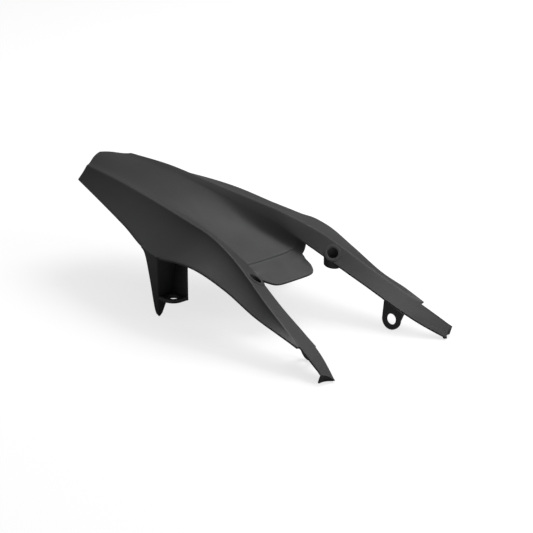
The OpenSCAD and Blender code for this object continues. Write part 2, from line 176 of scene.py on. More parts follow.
def floor_z(x):
    """Height of the middle of the trough."""
    return curve(WALL_X, FLOOR_Z, x)


def skirt_w(x):
    """Half width of the skirt edge."""
    return curve(SKIRT_X, SKIRT_W, x)


def skirt_z(x):
    """Height of the skirt edge."""
    return curve(SKIRT_Z_X, SKIRT_Z, x)


def wall_angle(x):
    """Slope of the trough wall where it meets the inner line."""
    return np.radians(curve(WALL_X, WALL_ANGLE, x))


def wall_reach(x):
    """How far inwards of the inner line the last control point of the trough's cubic lies."""
    return curve(WALL_X, WALL_REACH, x)


def trough(x, t, soft=0.0):
    """Half section of the trough, less the step.

    A cubic from the middle of the floor, level at first, that meets the inner line at the wall's slope.
    Its first control point lies 55 hundredths of the way out near the tail and 88 at the front.
    """
    w, z, c = inner_w(x), inner_z(x), floor_z(x)
    e, u, reach = ease((x - MID) / (ROOT - MID)), 1 - t, wall_reach(x)
    drop = STEP_H * ease((x - STEP + 1.2 + soft) / (2.4 + 2 * soft))
    y = 3 * u * u * t * (0.55 + 0.33 * e) * w + 3 * u * t * t * (w - reach) + t**3 * w
    h = (u**3 + 3 * u * u * t) * c + 3 * u * t * t * (z - reach * np.tan(wall_angle(x))) + t**3 * z
    return y, h - drop * (1 - t**6)


def face(x, t):
    """Face between the inner line and the ridge.

    A quadratic that leaves the line along the trough wall near the tail and is straight on the arms.
    """
    aw, az, bw, bz = inner_w(x), inner_z(x), ridge_w(x), ridge_z(x)
    r = 0.3 * (1 - ease((x - SHOULDER) / (ROOT - SHOULDER + 20)))
    length = np.hypot(bw - aw, bz - az)
    qw, qz = aw + r * length * np.cos(wall_angle(x)), az + r * length * np.sin(wall_angle(x))
    m = r / 0.3
    kw, kz = (1 - m) * (aw + bw) / 2 + m * qw, (1 - m) * (az + bz) / 2 + m * qz
    u = 1 - t
    return (u * u * aw + 2 * u * t * kw + t * t * bw,
            u * u * az + 2 * u * t * kz + t * t * bz)


def flank(x, t):
    """Hollow flank: a quadratic from the ridge down and out to the skirt edge.

    Its control point lies 42 hundredths of the way out at the tail and 14 further on, and about half
    way down, so the flank sags below the straight line.
    """
    aw, az, bw, bz = ridge_w(x), ridge_z(x), skirt_w(x), skirt_z(x)
    m, u = ease((x - TAIL_CORNER) / 300), 1 - t
    qw, qz = aw + (0.42 - 0.28 * m) * (bw - aw), az - (0.5 - 0.04 * m) * (az - bz)
    return u * u * aw + 2 * u * t * qw + t * t * bw, u * u * az + 2 * u * t * qz + t * t * bz


def leg_low(x):
    """Lower outline of a leg, from the skirt edge behind it down to the foot."""
    v = (x - LEG_REAR) / LEG_WIDTH
    z = curve([0, 0.26, 0.54, 0.81, 1], [skirt_z(x) - 2, SKIRT_Z_LEG - 4, 0.56 * SKIRT_Z_LEG, 6, 0], v)
    return np.where(v >= 0.999, 0, z)


def leg_w(z):
    """Half width of a leg at height z, straight from the foot to the skirt."""
    return FOOT_LINE + (SKIRT_W_LEG - FOOT_LINE) * np.clip(z / SKIRT_Z_LEG, 0, 1)


def sweep(z):
    """How far a leg has swept rearwards at height z."""
    return LEG_SWEEP * (1 - np.clip(z / SKIRT_Z_LEG, 0, 1))


def station(i, k):
    """Distance from the tail of lattice point (i, k).

    The rows bend to the plan line of the tail and of the arm ends.
    """
    inner, ridge = INNER_W[0], RIDGE_W[0]
    t = share(k, K_INNER, K_RIDGE)
    a = (inner + (ridge - inner) * t) / ridge
    edge = np.where(k <= K_RIDGE, TAIL_CORNER * np.where(k <= K_INNER, k / K_INNER * inner / ridge, a),
                    TAIL_CORNER + SKIRT_AHEAD * (k - K_RIDGE) / (K_SKIRT - K_RIDGE))
    body = np.interp(i, np.arange(len(ROWS)), ROWS)
    tail = edge + (TAIL_END - edge) * body / TAIL_END
    arm = ROOT + (SKIRT_END - ROOT) * (i - I_ROOT) / (I_SKIRT - I_ROOT)
    end = ARM_TIP + (TIP - ARM_TIP) * t - ARM_HOLLOW * t * (1 - t)
    last = SKIRT_END + (end - SKIRT_END) * (np.minimum(i, I_TIP) - I_SKIRT) / (I_TIP - I_SKIRT)
    return np.where(i < I_TAIL, tail, np.where(i <= I_ROOT, body, np.where(i <= I_SKIRT, arm, last)))


def lattice_point(i, k, soft):
    """Place of lattice point (i, k), whole or between.

    Its column makes it trough, face, flank or leg, and its row makes it tongue or arm lip.
    """
    x = station(i, k)
    tw, tz = trough(x, share(k, 0, K_INNER), soft)
    fw, fz = face(x, share(k, K_INNER, K_RIDGE))
    sw, sz = flank(x, share(k, K_RIDGE, K_SKIRT))
    t = share(k, K_SKIRT, K_LEG)
    lz = sz + (leg_low(x) - sz) * t
    lw = sw + (leg_w(lz) - SKIRT_W_LEG) * ease((sz - lz) / 15 + 0.3)
    w = np.where(k <= K_INNER, tw, np.where(k <= K_RIDGE, fw, np.where(k <= K_SKIRT, sw, lw)))
    z = np.where(k <= K_INNER, tz, np.where(k <= K_RIDGE, fz, np.where(k <= K_SKIRT, sz, lz)))
    x = np.where(k > K_SKIRT, x - sweep(lz) + sweep(sz), x)
    lip = share(i, I_TIP, I_END)
    x, z = x - LIP_LEAN * lip, z * (1 - lip)
    # the tongue carries the trough on past the root, narrowing its upturned sides to the lower front
    r, tt = (i - I_ROOT) / (I_TONGUE - I_ROOT), k / K_TONGUE
    gx = ROOT + (TONGUE - (TONGUE - ROOT) * TONGUE_ROUND * tt**4 - ROOT) * r
    root = np.full_like(gx, ROOT)
    rw, rz = trough(root, k / K_INNER)
    side = trough(root[:1, :1], np.full((1, 1), K_TONGUE / K_INNER))[0]
    base = floor_z(root) - STEP_H
    gw = rw * (1 + (TONGUE_W / side - 1) * ease((gx - ROOT) / TONGUE_NARROWS))
    fall = TONGUE_FALL * (gx - ROOT) / (TONGUE - ROOT)
    gz = base - fall + (rz - base) * (1 - 0.8 * ease((gx - ROOT) / TONGUE_FLATTENS))
    on_tongue = (i > I_ROOT) & (k <= K_TONGUE)
    return np.stack([np.where(on_tongue, a, b) for a, b in ((gx, x), (gw, w), (gz, z))], -1)


def in_shell(i, k):
    """Whether the cell whose middle is (i, k) is part of the moulding."""
    body = (i < I_ROOT) & ((k < K_SKIRT) | ((i > I_LEG0) & (i < I_LEG1)))
    tongue = (i > I_ROOT) & (i < I_TONGUE) & (k < K_TONGUE)
    arm = (i > I_ROOT) & (k > K_INNER) & ((k < K_RIDGE) | ((k < K_SKIRT) & (i < I_SKIRT)))
    return body | tongue | arm


def spread(marks, per_cell):
    """Lattice positions: every stretch between marks is cut into equal parts, about per_cell to a cell."""
    parts = [np.linspace(a, b, max(1, round((b - a) * per_cell)) + 1)[:-1]
             for a, b in zip(marks[:-1], marks[1:])]
    return np.concatenate(parts + [marks[-1:]])


# Half width in columns of the stretch that holds a rounding, and the most columns that it may take up
# on the face and on the flank.
CREASE, MOST_UP, MOST_DOWN = 0.2, 1.5, 2.5


def sheet(i, k, leg, soft):
    """Lattice of points with rounded ridge and inner line.

    Within CREASE columns of a ridge the column positions are rescaled so that the rounding is leg mm
    long on either side. A quadratic through the two ends of that stretch, drawn to the crease, takes
    the place of the corner.
    """
    ii, kk = np.meshgrid(i, k, indexing="ij")

    def at(j, q):
        return lattice_point(j, q, soft)

    def length(a, b):
        row = ii[:, :1]
        span = at(row, np.full_like(row, b)) - at(row, np.full_like(row, a))
        return np.linalg.norm(span, axis=-1) / abs(b - a)

    up = np.minimum(leg / length(K_INNER + 1.5, K_RIDGE), MOST_UP)
    down = np.minimum(leg / length(K_RIDGE, K_RIDGE + 3), MOST_DOWN)
    inner = K_INNER + CREASE
    warped = kk.copy()
    zone = (kk > inner) & (kk < K_RIDGE - CREASE)
    squeezed = inner + (kk - inner) * (K_RIDGE - up - inner) / (K_RIDGE - CREASE - inner)
    warped = np.where(zone, squeezed, warped)
    near = (kk >= K_RIDGE - CREASE - 1e-9) & (kk <= K_RIDGE)
    warped = np.where(near, K_RIDGE - (K_RIDGE - kk) / CREASE * up, warped)
    near = (kk > K_RIDGE) & (kk <= K_RIDGE + CREASE + 1e-9)
    warped = np.where(near, K_RIDGE + (kk - K_RIDGE) / CREASE * down, warped)
    zone, cells = (kk > K_RIDGE + CREASE + 1e-9) & (kk < K_SKIRT), K_SKIRT - K_RIDGE
    squeezed = K_RIDGE + down + (kk - K_RIDGE - CREASE) * (cells - down) / (cells - CREASE)
    warped = np.where(zone, squeezed, warped)
    p = at(ii, warped)

    def corner(mid, a, b, weight):
        c = at(ii, np.full_like(ii, mid))
        pa, pb = at(ii, mid - a + 0 * ii), at(ii, mid + b + 0 * ii)
        way = np.where(warped < mid, (warped - mid + a) / a / 2, 0.5 + (warped - mid) / b / 2)
        t = np.clip(way, 0, 1)[..., None]
        q = (1 - t)**2 * pa + 2 * t * (1 - t) * c + t * t * pb
        inside = ((warped > mid - a) & (warped < mid + b))[..., None]
        return np.where(inside, p + (q - p) * weight[..., None], p)

    p = corner(K_RIDGE, up + 0 * ii, down + 0 * ii, 1 - ease((ii - I_TIP + 0.7) / 0.7))
    width = CREASE * leg / 2.4 + 0 * ii
    p = corner(K_INNER, width, width, np.clip((I_ROOT - ii) / 2.5, 0, 1) * (ii < I_ROOT))
    return ii, kk, p


def face_normals(p, i, k):
    """Normal at each lattice point, and which cells are part of the moulding.

    The unit cross products of the diagonals of the moulding's cells around the point are added up and
    made one long. Above the skirt edge and behind the lip, one that points down is turned over.
    """
    mid = in_shell((i[:-1, :-1] + i[1:, 1:]) / 2, (k[:-1, :-1] + k[1:, 1:]) / 2)
    c = np.cross(p[1:, 1:] - p[:-1, :-1], p[:-1, 1:] - p[1:, :-1])
    size = np.linalg.norm(c, axis=-1, keepdims=True)
    c = np.where(mid[..., None], c / np.maximum(size, 1e-9), 0)
    total = np.zeros_like(p)
    for a in (slice(None, -1), slice(1, None)):
        for b in (slice(None, -1), slice(1, None)):
            total[a, b] += c
    total /= np.maximum(np.linalg.norm(total, axis=-1, keepdims=True), 1e-9)
    turned = (total[..., 2:] < 0) & (k[..., None] <= K_SKIRT) & (i[..., None] <= I_TIP)
    return np.where(turned, -total, total), mid


def shell_arrays(per_row, per_column, leg, rim):
    """Vertices and quads of the whole shell.

    The upper lattice and one a wall below it along the normals are mirrored about the middle. The cells
    of the moulding are kept, and every free edge is closed by two quarter rounds and a flat between them.
    """
    marks = [0, I_TAIL, I_LEG0, I_LEG1, I_ROOT - 4, I_ROOT - 3, I_ROOT - 2, I_ROOT, I_TONGUE, I_SKIRT, I_TIP]
    rows = spread(np.array(marks, float), per_row)
    step = np.linspace(I_ROOT - 3, I_ROOT - 2, 7)[1:-1]
    rows = rows[(rows <= I_ROOT - 3) | (rows >= I_ROOT - 2)]
    rows = np.unique(np.round(np.concatenate([rows, step, [I_TIP + 1, I_END]]), 6))
    marks = np.array([0, K_TONGUE, K_INNER - CREASE, K_INNER + CREASE,
                      K_RIDGE - CREASE, K_RIDGE + CREASE, K_SKIRT, K_LEG])
    cols = spread(marks, per_column)
    fine = [c + CREASE * np.array([-1, -0.6, -0.3, 0, 0.3, 0.6, 1]) for c in (K_INNER, K_RIDGE)]
    cols = np.unique(np.round(np.concatenate([cols, [K_INNER, K_RIDGE]] + fine), 6))
    i, k, top = sheet(rows, cols, leg, 0.0)
    normal, cells = face_normals(top, i, k)
    _, _, under = sheet(rows, cols, 2 * leg, 3.0)
    wide, _ = face_normals(under, i, k)
    wide[:, 0, 1] = 0
    low = under - WALL * wide

    def mirrored(a, sign):
        other = a[:, :0:-1].copy()
        if sign:
            other[..., 1] *= -1
        return np.concatenate([other, a], 1)

    top, low, normal = mirrored(top, True), mirrored(low, True), mirrored(normal, True)
    cells = np.concatenate([cells[:, ::-1], cells], 1)
    n, m = top.shape[:2]
    ids = np.arange(n * m).reshape(n, m)
    quads = np.stack([ids[:-1, :-1], ids[:-1, 1:], ids[1:, 1:], ids[1:, :-1]], -1)[cells]
    full = np.zeros((n + 1, m + 1), bool)
    full[1:-1, 1:-1] = cells
    here, edges = full[1:-1, 1:-1], []
    for other, a, b in ((full[:-2, 1:-1], ids[:-1, 1:], ids[:-1, :-1]),
                        (full[2:, 1:-1], ids[1:, :-1], ids[1:, 1:]),
                        (full[1:-1, :-2], ids[:-1, :-1], ids[1:, :-1]),
                        (full[1:-1, 2:], ids[1:, 1:], ids[:-1, 1:])):
        free = here & ~other
        edges.append(np.stack([a[free], b[free]], -1))
    edges = np.concatenate(edges)
    top, low, normal = top.reshape(-1, 3), low.reshape(-1, 3), normal.reshape(-1, 3)
    along = top[edges[:, 1]] - top[edges[:, 0]]
    out = np.cross(along, normal[edges].mean(1))
    out /= np.maximum(np.linalg.norm(out, axis=-1, keepdims=True), 1e-9)
    outward = np.zeros_like(top)
    np.add.at(outward, edges[:, 0], out)
    np.add.at(outward, edges[:, 1], out)
    length = np.linalg.norm(outward, axis=-1, keepdims=True)
    outward = outward / np.maximum(length, 1e-9)
    free = np.unique(edges)
    place = np.full(len(top), -1)
    place[free] = np.arange(len(free))
    down = low[free] - top[free]
    down /= np.linalg.norm(down, axis=-1, keepdims=True)
    a = np.radians([30, 60, 90])
    t, o = top[free], outward[free]
    b = low[free]
    ring = [t + rim * (-o + np.sin(q) * o + (1 - np.cos(q)) * down) for q in a]
    ring += [b + rim * (-o + np.sin(q) * o - (1 - np.cos(q)) * down) for q in a[::-1]]
    top[free] -= rim * outward[free]
    low[free] -= rim * outward[free]
    used = np.unique(quads)
    remap = np.full(len(top), -1)
    remap[used] = np.arange(len(used))
    count = len(used)
    points = np.concatenate([top[used], low[used]] + ring)
    quads = remap[quads]
    faces = [quads, quads[:, ::-1] + count]
    rings = [2 * count + j * len(free) + np.arange(len(free)) for j in range(len(ring))]
    chain = [remap[free]] + rings + [remap[free] + count]
    e = place[edges]
    for c, d in zip(chain[:-1], chain[1:]):
        faces.append(np.stack([c[e[:, 0]], c[e[:, 1]], d[e[:, 1]], d[e[:, 0]]], -1))
    points[:, 0] = np.maximum(points[:, 0], 0) - CENTRE
    points[:, 2] = np.maximum(points[:, 2], 0)
    return points * MM, np.concatenate(faces)


def new_object(name, points, faces):
    """Mesh object from arrays, with its faces turned outwards."""
    mesh = bpy.data.meshes.new(name)
    mesh.from_pydata(np.asarray(points, float).tolist(), [], [list(map(int, f)) for f in faces])
    shape = bmesh.new()
    shape.from_mesh(mesh)
    bmesh.ops.recalc_face_normals(shape, faces=shape.faces)
    shape.to_mesh(mesh)
    shape.free()
    piece = bpy.data.objects.new(name, mesh)
    bpy.context.scene.collection.objects.link(piece)
    return piece


def grid_faces(n, m, close_n=False, close_m=False):
    """Quads of an n by m lattice, joined end to end where asked."""
    a, b = np.arange(n if close_n else n - 1), np.arange(m if close_m else m - 1)
    i, j = np.meshgrid(a, b, indexing="ij")
    i1, j1 = (i + 1) % n, (j + 1) % m
    return np.stack([i * m + j, i1 * m + j, i1 * m + j1, i * m + j1], -1).reshape(-1, 4)


def boss_place(side):
    """Axis and top of a boss, and the slopes of the arm there."""
    x = ROOT + BOSS_FWD
    w = float(inner_w(x)) + BOSS_D / 2 - 1.8

    def top(a, b):
        s = (b - inner_w(a)) / (ridge_w(a) - inner_w(a))
        return float(inner_z(a) + (ridge_z(a) - inner_z(a)) * s)

    slope_x = (top(x + 5, w) - top(x - 5, w)) / 10
    slope_w = (top(x, w + 5) - top(x, w - 5)) / 10
    return x - CENTRE, side * w, top(x, w) + BOSS_RIM, slope_x, side * slope_w


def boss_arrays(side, around=96):
    """Boss: a closed profile of rim, outer wall, foot, bore, seat and counterbore, carried round the axis.

    The rim and mouth follow the slopes of the arm. The foot and the lower end of the bore slope by
    BOSS_TILT, and the seat is level.
    """
    x, y, top, sx, sy = boss_place(side)
    r, h, s, seat = BOSS_D / 2, BOSS_HEAD / 2, BOSS_SCREW / 2, top - BOSS_DEPTH
    e, c = 0.9, 0.7  # radii of the rim, and of the foot and mouth
    q = np.radians([0, 22.5, 45, 67.5, 90])
    rim = [(r - e + e * math.sin(a), top - e + e * math.cos(a), 1) for a in q]
    foot = [(r - c + c * math.cos(a), BOSS_BOTTOM + c - c * math.sin(a), -1) for a in q]
    mouth = [(h + c - c * math.sin(a), top - c + c * math.cos(a), 1) for a in q[::-1]]
    bore = [(s + 0.4, BOSS_BOTTOM, -1), (s, BOSS_BOTTOM + 0.4, -1), (s, seat - 0.3, 0)]
    counterbore = [(s + 0.3, seat, 0), (h - 0.6, seat, 0), (h, seat + 0.6, 0)]
    profile = np.array(rim + [(r, BOSS_BOTTOM + 6, 0)] + foot + bore + counterbore + mouth)
    a = np.linspace(0, 2 * np.pi, around, endpoint=False)[:, None]
    dx, dy = profile[:, 0] * np.cos(a), profile[:, 0] * np.sin(a)
    tilt = profile[:, 2] * math.tan(math.radians(BOSS_TILT)) * dx
    z = profile[:, 1] + np.where(profile[:, 2] > 0, sx * dx + sy * dy, tilt)
    points = np.stack([x + dx, y + dy, z], -1).reshape(-1, 3)
    return points * MM, grid_faces(around, len(profile), True, True)


def rod_arrays(x, y, low, high, radius, around=64):
    """Closed round rod, used to clear a hole."""
    a = np.linspace(0, 2 * np.pi, around, endpoint=False)
    ring = np.stack([x + radius * np.cos(a), y + radius * np.sin(a)], -1)
    points = np.concatenate([np.c_[ring, np.full(around, low)], np.c_[ring, np.full(around, high)]])
    sides = grid_faces(2, around, False, True).tolist()
    return points * MM, sides + [list(range(around)), list(range(around, 2 * around))]


def outline_radii(corners, centre, angles):
    """Distance from the centre to a closed outline at each angle.

    It is the nearest crossing of the ray with any side.
    """
    p = np.asarray(corners, float) - centre
    q = np.roll(p, -1, 0)
    d = np.stack([np.cos(angles), np.sin(angles)], -1)[:, None]
    e = (q - p)[None]
    det = d[..., 0] * -e[..., 1] + d[..., 1] * e[..., 0]
    det = np.where(abs(det) < 1e-12, 1e-12, det)
    r = (p[None, :, 0] * -e[..., 1] + p[None, :, 1] * e[..., 0]) / det
    s = (d[..., 0] * p[None, :, 1] - d[..., 1] * p[None, :, 0]) / det
    hit = (r > 0) & (s >= -1e-7) & (s <= 1 + 1e-7)
    return np.where(hit, r, 1e9).min(1)


def plate_arrays(corners, centre, thickness, hole=0.0, edge=0.5, around=120):
    """Plate with rounded edges.

    A cross profile carried round the centre, scaled between the hole, or the centre itself, and the outline.
    """
    corner = np.asarray(corners, float) - centre
    angles = np.unique(np.round(np.concatenate([np.linspace(-np.pi, np.pi, around, endpoint=False),
                                                np.arctan2(corner[:, 1], corner[:, 0])]), 5))
    radii = outline_radii(corners, centre, angles)
    t, q = thickness / 2, np.radians([0, 30, 60, 90])
    outer = [(1, edge * (math.sin(a) - 1), t - edge + edge * math.cos(a)) for a in q]
    outer += [(1, edge * (math.cos(a) - 1), edge - t - edge * math.sin(a)) for a in q]
    across = [0.75, 0.5, 0.25]
    if hole:
        inner = [(0, edge * (1 - math.sin(a)), edge - t - edge * math.cos(a)) for a in q]
        inner += [(0, edge * (1 - math.cos(a)), t - edge + edge * math.sin(a)) for a in q]
        profile = np.array(outer + [(s, 0, -t) for s in across] + inner + [(s, 0, t) for s in across[::-1]])
    else:
        profile = np.array([(s, 0, t) for s in across[::-1]] + outer + [(s, 0, -t) for s in across])
    rho = hole + (radii[:, None] - hole) * profile[:, 0] + profile[:, 1]
    z = np.broadcast_to(profile[:, 2], rho.shape)
    points = np.stack([centre[0] + rho * np.cos(angles)[:, None],
                       centre[1] + rho * np.sin(angles)[:, None], z], -1)
    n, m = rho.shape
    faces = grid_faces(n, m, True, bool(hole)).tolist()
    points = points.reshape(-1, 3)
    if not hole:
        points = np.concatenate([points, [[centre[0], centre[1], t], [centre[0], centre[1], -t]]])
        j = np.arange(n)
        nxt = (j + 1) % n
        faces += np.stack([np.full(n, n * m), nxt * m, j * m], -1).tolist()
        faces += np.stack([np.full(n, n * m + 1), j * m + m - 1, nxt * m + m - 1], -1).tolist()
    return points, faces


def turn(axis, degrees):
    """Rotation matrix about X, Y or Z."""
    a = math.radians(degrees)
    c, s = math.cos(a), math.sin(a)
    return np.array({"X": [[1, 0, 0], [0, c, -s], [0, s, c]], "Y": [[c, 0, s], [0, 1, 0], [-s, 0, c]],
                     "Z": [[c, -s, 0], [s, c, 0], [0, 0, 1]]}[axis])


def tab_arrays(side, edge):
    """Hanging tab: a plate with a round foot about its hole, leaning in below the arm and yawed along it."""
    fall = float(inner_z(TAB_X - 15) - inner_z(TAB_X + 15)) / 30
    r = TAB_HOLE / 2 + TAB_RIM
    top = (float(inner_z(TAB_X)) - TAB_Z - 0.4 * WALL) / math.cos(math.radians(TAB_LEAN))
    a = np.linspace(np.pi, 2 * np.pi, 37)
    foot = np.stack([r * np.cos(a), r * np.sin(a)], -1)
    head = [[r + TAB_FLARE, top - fall * (r + TAB_FLARE)], [1 - r, top + fall * (r - 1)]]
    points, faces = plate_arrays(np.concatenate([foot, head]), np.zeros(2), TAB_T, TAB_HOLE / 2, edge)
    yaw = math.degrees(math.atan(float(inner_w(TAB_X + 20) - inner_w(TAB_X - 20)) / 40))
    lean_in = float(inner_z(TAB_X) - TAB_Z) * math.tan(math.radians(TAB_LEAN))
    w = float(inner_w(TAB_X)) + TAB_T / 2 - 0.6 - lean_in
    m = turn("Z", side * yaw) @ turn("X", -side * TAB_LEAN) @ turn("X", 90)
    return (points @ m.T + [TAB_X - CENTRE, side * w, TAB_Z]) * MM, faces


def flank_height(x, w):
    """Height of the flank at station x and half width w, found by interpolation along the section."""
    t = np.linspace(0, 1, 200)
    fw, fz = flank(np.full(200, float(x)), t)
    return float(np.interp(w, fw, fz))


def leg_arrays(side, edge):
    """Web across the front of a leg, panel along its inner side and shelf with the bolt hole between them."""
    crease_x, crease_w = LEG_FRONT - float(sweep(SHELF_Z)), float(leg_w(SHELF_Z))
    panel_w = crease_w - SHELF_SIDE
    lean = math.degrees(math.atan(LEG_SWEEP / SKIRT_Z_LEG))
    q = 1 / math.cos(math.radians(lean))
    low = SHELF_Z - SHELF_T
    top = [[w, (flank_height(LEG_FRONT, w) - WALL * 0.7) * q]
           for w in np.linspace(panel_w, SKIRT_W_LEG - 2, 6)]
    web = np.array([[float(leg_w(1)) - 0.8, q], [FOOT_LINE - FOOT / 2, q], [FOOT_LINE - FOOT, 5],
                    [FOOT_LINE - 11, SHELF_Z - 10], [FOOT_LINE - 13, low], [panel_w, low]]
                   + top + [[crease_w - 0.8, SHELF_Z * q]])
    p, f = plate_arrays(web, np.array(WEB_MIDDLE), WALL, 0, edge)
    # the plate is drawn across and up, then stood up facing forward and leaned with the leg
    p = np.stack([p[:, 2] + WALL / 2, side * p[:, 0], p[:, 1]], -1) @ turn("Y", lean).T
    parts = [((p + [LEG_FRONT - LEG_SWEEP - WALL - CENTRE, 0, 0]) * MM, f)]
    x0, x1 = crease_x - WALL, crease_x + SHELF_SIDE
    tops = [[x, flank_height(x, panel_w + WALL / 2) - WALL * 0.6]
            for x in np.linspace(x1, x0 + 9, 5)]
    panel = np.array([[x0, low], [x1, low]] + tops)
    p, f = plate_arrays(panel, np.array([crease_x + SHELF_SIDE / 2, PANEL_MIDDLE]), WALL, 0, edge)
    parts.append((np.stack([p[:, 0] - CENTRE, side * panel_w + p[:, 2], p[:, 1]], -1) * MM, f))
    r, o, b = SHELF_SIDE * 0.55, crease_w - 0.8, crease_x + SHELF_SIDE
    a = np.linspace(0, np.pi / 2, 13)
    arc = np.stack([b - r + r * np.cos(a), o - r + r * np.sin(a)], -1)
    shelf = np.concatenate([[[x0, panel_w - WALL / 2], [b, panel_w - WALL / 2]], arc, [[x0, o]]])
    hole = np.array([crease_x + SHELF_SIDE / 2 + 0.6, crease_w - SHELF_SIDE / 2 - 0.6])
    p, f = plate_arrays(shelf, hole, SHELF_T, SHELF_HOLE / 2, edge)
    parts.append((np.stack([p[:, 0] - CENTRE, side * p[:, 1], p[:, 2] + SHELF_Z - SHELF_T / 2], -1) * MM, f))
    return parts


def merge(base, others, cutters):
    """One closed skin from the shell and what is moulded onto it.

    The cutters clear their holes first.
    """
    for operation, group in (("DIFFERENCE", cutters), ("UNION", others)):
        for other in group:
            step = base.modifiers.new(other.name, "BOOLEAN")
            step.operation, step.object, step.solver = operation, other, "MANIFOLD"
    evaluated = base.evaluated_get(bpy.context.evaluated_depsgraph_get())
    mesh = bpy.data.meshes.new_from_object(evaluated)
    base.modifiers.clear()
    base.data = mesh
    for other in list(others) + list(cutters):
        bpy.data.objects.remove(other)
    if len(mesh.polygons) < 1000:
        raise RuntimeError("the moulding came out empty")


def edge_marks(mesh):
    """Attribute edge: how sharply the skin turns outwards at each vertex, which the material paints paler,
    partly as wear and partly as a painted highlight along creases and rims.

    The change of normal along each edge over its length is averaged by length, scaled, clamped between
    0 and 1, and then spread over the neighbours by averaging twice.
    """
    count = len(mesh.vertices)
    co = np.empty(count * 3)
    mesh.vertices.foreach_get("co", co)
    co = co.reshape(-1, 3)
    normal = np.empty(count * 3)
    mesh.vertices.foreach_get("normal", normal)
    normal = normal.reshape(-1, 3)
    pairs = np.empty(len(mesh.edges) * 2, int)
    mesh.edges.foreach_get("vertices", pairs)
    a, b = pairs.reshape(-1, 2).T
    d = co[b] - co[a]
    size = np.maximum(np.linalg.norm(d, axis=1), 1e-5)
    bend = np.einsum("ij,ij->i", normal[b] - normal[a], d) / size**2
    total, weight = np.zeros(count), np.zeros(count)
    for v in (a, b):
        np.add.at(total, v, bend * size)
        np.add.at(weight, v, size)
    value = np.clip(total / np.maximum(weight, 1e-9) / 350, 0, 1)
    for _ in range(2):
        total, weight = value * 1.5, np.full(count, 1.5)
        for v, u in ((a, b), (b, a)):
            np.add.at(total, v, value[u])
            np.add.at(weight, v, 1.0)
        value = total / weight
    # this attribute marks where edges are painted paler: partly wear, partly a painted highlight
    layer = mesh.attributes.new("edge", "FLOAT", "POINT")
    layer.data.foreach_set("value", value.astype(np.float32))


def node_group(name, sockets):
    """Empty shader node group with named inputs (name, type, default) and outputs (name, type)."""
    group = bpy.data.node_groups.new(name, "ShaderNodeTree")
    for direction, items in sockets.items():
        for item in items:
            socket = group.interface.new_socket(item[0], in_out=direction, socket_type=item[1])
            if len(item) > 2:
                socket.default_value = item[2]
    return group, group.nodes.new("NodeGroupInput"), group.nodes.new("NodeGroupOutput")


def put(tree, kind, inputs=None, **settings):
    """Adds a node, sets its options and its inputs: a plain value is set, a socket is linked."""
    node = tree.nodes.new(kind)
    for key, value in settings.items():
        setattr(node, key, value)
    for key, value in (inputs or {}).items():
        if isinstance(value, bpy.types.NodeSocket):
            tree.links.new(value, node.inputs[key])
        else:
            node.inputs[key].default_value = value
    return node


def math_node(tree, operation, a, b=0.0, clamp=False):
    """Result of one operation on two values."""
    return put(tree, "ShaderNodeMath", {0: a, 1: b}, operation=operation, use_clamp=clamp).outputs[0]


def times(tree, a, b, clamp=False):
    """Product of two values."""
    return math_node(tree, "MULTIPLY", a, b, clamp)


def plus(tree, a, b, clamp=False):
    """Sum of two values."""
    return math_node(tree, "ADD", a, b, clamp)


def ramp(tree, value, low, high, to_low=0.0, to_high=1.0):
    """Smooth ramp of a value between two limits."""
    limits = {"Value": value, "From Min": low, "From Max": high, "To Min": to_low, "To Max": to_high}
    return put(tree, "ShaderNodeMapRange", limits, interpolation_type="SMOOTHSTEP").outputs["Result"]


def noise(tree, vector, scale, detail, roughness=0.5, distortion=0.0):
    """Value of a noise texture."""
    return put(tree, "ShaderNodeTexNoise", {"Vector": vector, "Scale": scale, "Detail": detail,
                                            "Roughness": roughness, "Distortion": distortion}).outputs["Fac"]


def blend(tree, factor, a, b):
    """Colour between two colours."""
    return put(tree, "ShaderNodeMix", {0: factor, 6: a, 7: b}, data_type="RGBA").outputs[2]


def grain_group():
    """Spark-eroded grain: small cells over finer noise, broken up by a broad noise against repeats."""
    group, i, o = node_group("Moulded grain", {
        "INPUT": [("Vector", "NodeSocketVector"), ("Size", "NodeSocketFloat", 1.1)],
        "OUTPUT": [("Height", "NodeSocketFloat"), ("Fleck", "NodeSocketFloat")]})
    vector = i.outputs["Vector"]
    scale = math_node(group, "DIVIDE", 1000.0, i.outputs["Size"])
    cells = put(group, "ShaderNodeTexVoronoi", {"Vector": vector, "Scale": scale, "Randomness": 1.0},
                feature="SMOOTH_F1").outputs["Distance"]
    fine = noise(group, vector, times(group, scale, 2.3), 2.0, 0.6)
    broad = noise(group, vector, times(group, scale, 0.11), 2.0)
    mixed = plus(group, times(group, cells, 0.6), times(group, fine, 0.5))
    depth = ramp(group, broad, 0.3, 0.7, 0.7, 1.0)
    group.links.new(times(group, mixed, depth), o.inputs["Height"])
    group.links.new(ramp(group, fine, 0.35, 0.7), o.inputs["Fleck"])
    return group


def flow_group():
    """Broad marks that the melt leaves, long along the fender, and soft clouds of handling sheen."""
    group, i, o = node_group("Flow marks", {
        "INPUT": [("Vector", "NodeSocketVector"), ("Length", "NodeSocketFloat", 0.16)],
        "OUTPUT": [("Flow", "NodeSocketFloat"), ("Cloud", "NodeSocketFloat")]})
    vector = i.outputs["Vector"]
    stretched = put(group, "ShaderNodeMapping", {"Vector": vector, "Scale": (0.25, 1.0, 1.0)}).outputs[0]
    inverse = math_node(group, "DIVIDE", 1.0, i.outputs["Length"])
    flow = noise(group, stretched, times(group, inverse, 4.0), 3.0, 0.55, 0.4)
    cloud = noise(group, vector, times(group, inverse, 1.7), 2.0)
    group.links.new(ramp(group, flow, 0.3, 0.7), o.inputs["Flow"])
    group.links.new(ramp(group, cloud, 0.32, 0.68), o.inputs["Cloud"])
    return group


